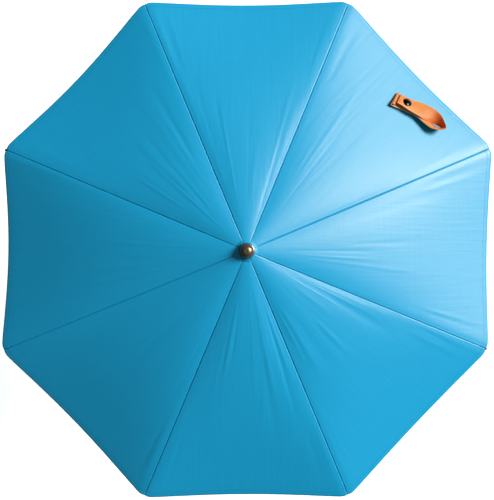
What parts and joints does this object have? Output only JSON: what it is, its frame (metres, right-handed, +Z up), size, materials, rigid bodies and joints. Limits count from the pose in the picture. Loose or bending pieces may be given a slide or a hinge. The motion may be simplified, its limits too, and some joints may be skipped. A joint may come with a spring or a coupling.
{
  "type": "clamp-on sun umbrella",
  "caption": "Small clamp-on beach sun umbrella: gored cloth canopy on steel ribs, sliding runner, tilt joint, pole, clamp and a leather closure strap.",
  "frame": {"origin": "middle of the clamp's bore, on the axis of the tube it grips", "axes": "+Z up the pole and shaft to the finial, +X along the tube that the clamp grips, +Y towards the clamp's screw knob"},
  "size_m": [0.679, 0.679, 0.7338],
  "materials": {
    "canopy_cloth": "satin plain weave, water-repellent",
    "leather": "smooth vegetable-tanned, edge dyed",
    "snap_metal": "gunmetal plated",
    "bronze_metal": "dark bronze, polished",
    "black_plastic": "moulded, fine grain",
    "painted_tube": "silver powder coat",
    "plated_steel": "zinc plated"
  },
  "bodies": {
    "base": {"clamp_body": "black_plastic", "lower_pole": "painted_tube", "tilt_fork": "black_plastic", "tilt_bolt": "plated_steel"},
    "jaw": {"clamp_jaw": "black_plastic"},
    "screw": {"clamp_screw": "plated_steel", "clamp_knob": "black_plastic"},
    "tilt_knob": {"tilt_knob": "black_plastic"},
    "upper_shaft": {"shaft": "painted_tube", "tilt_knuckle": "black_plastic", "crown": "black_plastic", "crown_wire": "plated_steel", "top_cap": "canopy_cloth", "finial": "bronze_metal"},
    "catch": {"catch": "plated_steel"},
    "runner": {"runner": "black_plastic", "runner_wire": "plated_steel"},
    "rib_1": {"rib_1": "plated_steel", "rib_tip_1": "black_plastic", "rib_joint_1": "plated_steel", "canopy_sector_1": "canopy_cloth"},
    "stretcher_1": {"stretcher_1": "plated_steel"},
    "rib_2": {"rib_2": "plated_steel", "rib_tip_2": "black_plastic", "rib_joint_2": "plated_steel", "canopy_sector_2": "canopy_cloth"},
    "stretcher_2": {"stretcher_2": "plated_steel"},
    "rib_3": {"rib_3": "plated_steel", "rib_tip_3": "black_plastic", "rib_joint_3": "plated_steel", "canopy_sector_3": "canopy_cloth"},
    "stretcher_3": {"stretcher_3": "plated_steel"},
    "rib_4": {"rib_4": "plated_steel", "rib_tip_4": "black_plastic", "rib_joint_4": "plated_steel", "canopy_sector_4": "canopy_cloth"},
    "stretcher_4": {"stretcher_4": "plated_steel"},
    "rib_5": {"rib_5": "plated_steel", "rib_tip_5": "black_plastic", "rib_joint_5": "plated_steel", "canopy_sector_5": "canopy_cloth"},
    "stretcher_5": {"stretcher_5": "plated_steel"},
    "rib_6": {"rib_6": "plated_steel", "rib_tip_6": "black_plastic", "rib_joint_6": "plated_steel", "canopy_sector_6": "canopy_cloth"},
    "stretcher_6": {"stretcher_6": "plated_steel"},
    "rib_7": {"rib_7": "plated_steel", "rib_tip_7": "black_plastic", "rib_joint_7": "plated_steel", "canopy_sector_7": "canopy_cloth"},
    "stretcher_7": {"stretcher_7": "plated_steel"},
    "rib_8": {"rib_8": "plated_steel", "rib_tip_8": "black_plastic", "rib_joint_8": "plated_steel", "canopy_sector_8": "canopy_cloth"},
    "stretcher_8": {"stretcher_8": "plated_steel"},
    "strap_base": {"strap_anchor": "leather"},
    "strap": {"closure_strap": "leather", "snap_fastener": "snap_metal"}
  },
  "joints": [
    {"name": "tilt", "type": "hinge", "parent": "base", "child": "upper_shaft", "pos_m": [0, 0, 0.3], "axis": [0, 1, 0], "range_deg": [-60, 60]},
    {"name": "tilt_knob_turn", "type": "hinge", "parent": "base", "child": "tilt_knob", "pos_m": [0, 0.02, 0.3], "axis": [0, 1, 0], "range_deg": [0, 360]},
    {"name": "clamp_screw_turn", "type": "hinge", "parent": "jaw", "child": "screw", "pos_m": [0, 0.03, 0], "axis": [0, 1, 0], "range_deg": [0, 1441]},
    {"name": "jaw_slide", "type": "slide", "parent": "base", "child": "jaw", "axis": [0, 1, 0], "range_m": [0, 0.012]},
    {"name": "catch_press", "type": "slide", "parent": "upper_shaft", "child": "catch", "axis": [-1, 0, 0], "range_m": [0, 0.0026], "stiffness_N_per_m": 600},
    {"name": "canopy_fold", "type": "hinge", "parent": "upper_shaft", "child": "rib_1", "pos_m": [0.00785, 0.00325, 0.7], "axis": [-0.3827, 0.9239, 0], "range_deg": [0, 69], "deforming": ["canopy_sector_1"]},
    {"name": "rib_2_fold", "type": "hinge", "parent": "upper_shaft", "child": "rib_2", "pos_m": [0.00325, 0.00785, 0.7], "axis": [-0.9239, 0.3827, 0], "range_deg": [0, 69], "deforming": ["canopy_sector_2"]},
    {"name": "rib_3_fold", "type": "hinge", "parent": "upper_shaft", "child": "rib_3", "pos_m": [-0.00325, 0.00785, 0.7], "axis": [-0.9239, -0.3827, 0], "range_deg": [0, 69], "deforming": ["canopy_sector_3"]},
    {"name": "rib_4_fold", "type": "hinge", "parent": "upper_shaft", "child": "rib_4", "pos_m": [-0.00785, 0.00325, 0.7], "axis": [-0.3827, -0.9239, 0], "range_deg": [0, 69], "deforming": ["canopy_sector_4"]},
    {"name": "rib_5_fold", "type": "hinge", "parent": "upper_shaft", "child": "rib_5", "pos_m": [-0.00785, -0.00325, 0.7], "axis": [0.3827, -0.9239, 0], "range_deg": [0, 69], "deforming": ["canopy_sector_5"]},
    {"name": "rib_6_fold", "type": "hinge", "parent": "upper_shaft", "child": "rib_6", "pos_m": [-0.00325, -0.00785, 0.7], "axis": [0.9239, -0.3827, 0], "range_deg": [0, 69], "deforming": ["canopy_sector_6"]},
    {"name": "rib_7_fold", "type": "hinge", "parent": "upper_shaft", "child": "rib_7", "pos_m": [0.00325, -0.00785, 0.7], "axis": [0.9239, 0.3827, 0], "range_deg": [0, 69], "deforming": ["canopy_sector_7"]},
    {"name": "rib_8_fold", "type": "hinge", "parent": "upper_shaft", "child": "rib_8", "pos_m": [0.00785, -0.00325, 0.7], "axis": [0.3827, 0.9239, 0], "range_deg": [0, 69], "deforming": ["canopy_sector_8"]},
    {"name": "stretcher_1_hinge", "type": "hinge", "parent": "rib_1", "child": "stretcher_1", "pos_m": [0.15054, 0.06236, 0.65403], "axis": [-0.3827, 0.9239, 0], "range_deg": [-138, 0]},
    {"name": "stretcher_2_hinge", "type": "hinge", "parent": "rib_2", "child": "stretcher_2", "pos_m": [0.06236, 0.15054, 0.65403], "axis": [-0.9239, 0.3827, 0], "range_deg": [-138, 0]},
    {"name": "stretcher_3_hinge", "type": "hinge", "parent": "rib_3", "child": "stretcher_3", "pos_m": [-0.06236, 0.15054, 0.65403], "axis": [-0.9239, -0.3827, 0], "range_deg": [-138, 0]},
    {"name": "stretcher_4_hinge", "type": "hinge", "parent": "rib_4", "child": "stretcher_4", "pos_m": [-0.15054, 0.06236, 0.65403], "axis": [-0.3827, -0.9239, 0], "range_deg": [-138, 0]},
    {"name": "stretcher_5_hinge", "type": "hinge", "parent": "rib_5", "child": "stretcher_5", "pos_m": [-0.15054, -0.06236, 0.65403], "axis": [0.3827, -0.9239, 0], "range_deg": [-138, 0]},
    {"name": "stretcher_6_hinge", "type": "hinge", "parent": "rib_6", "child": "stretcher_6", "pos_m": [-0.06236, -0.15054, 0.65403], "axis": [0.9239, -0.3827, 0], "range_deg": [-138, 0]},
    {"name": "stretcher_7_hinge", "type": "hinge", "parent": "rib_7", "child": "stretcher_7", "pos_m": [0.06236, -0.15054, 0.65403], "axis": [0.9239, 0.3827, 0], "range_deg": [-138, 0]},
    {"name": "stretcher_8_hinge", "type": "hinge", "parent": "rib_8", "child": "stretcher_8", "pos_m": [0.15054, -0.06236, 0.65403], "axis": [0.3827, 0.9239, 0], "range_deg": [-138, 0]},
    {"name": "runner_hinge", "type": "hinge", "parent": "stretcher_1", "child": "runner", "pos_m": [0.00785, 0.00325, 0.60807], "axis": [-0.3827, 0.9239, 0], "range_deg": [0, 69]},
    {"name": "strap_carry", "type": "hinge", "parent": "upper_shaft", "child": "strap_base", "pos_m": [0.00601, 0.00601, 0.7], "axis": [-0.7071, 0.7071, 0], "range_deg": [0, 70.48]},
    {"name": "strap_lift", "type": "hinge", "parent": "strap_base", "child": "strap", "pos_m": [0.20272, 0.20272, 0.6158], "axis": [-0.3755, -0.8694, 0.3211], "range_deg": [0, 85.5]}
  ],
  "couplings": [
    {"joint": "clamp_screw_turn", "follows": "jaw_slide", "rad_per_m": 2094.4},
    {"joint": "rib_2_fold", "follows": "canopy_fold", "ratio": 1},
    {"joint": "rib_3_fold", "follows": "canopy_fold", "ratio": 1},
    {"joint": "rib_4_fold", "follows": "canopy_fold", "ratio": 1},
    {"joint": "rib_5_fold", "follows": "canopy_fold", "ratio": 1},
    {"joint": "rib_6_fold", "follows": "canopy_fold", "ratio": 1},
    {"joint": "rib_7_fold", "follows": "canopy_fold", "ratio": 1},
    {"joint": "rib_8_fold", "follows": "canopy_fold", "ratio": 1},
    {"joint": "stretcher_1_hinge", "follows": "canopy_fold", "ratio": -2},
    {"joint": "stretcher_2_hinge", "follows": "canopy_fold", "ratio": -2},
    {"joint": "stretcher_3_hinge", "follows": "canopy_fold", "ratio": -2},
    {"joint": "stretcher_4_hinge", "follows": "canopy_fold", "ratio": -2},
    {"joint": "stretcher_5_hinge", "follows": "canopy_fold", "ratio": -2},
    {"joint": "stretcher_6_hinge", "follows": "canopy_fold", "ratio": -2},
    {"joint": "stretcher_7_hinge", "follows": "canopy_fold", "ratio": -2},
    {"joint": "stretcher_8_hinge", "follows": "canopy_fold", "ratio": -2},
    {"joint": "runner_hinge", "follows": "canopy_fold", "ratio": 1},
    {"joint": "strap_carry", "follows": "canopy_fold", "ratio": 1.02},
    {"joint": "strap_lift", "follows": "canopy_fold", "ratio": 1.2319}
  ]
}
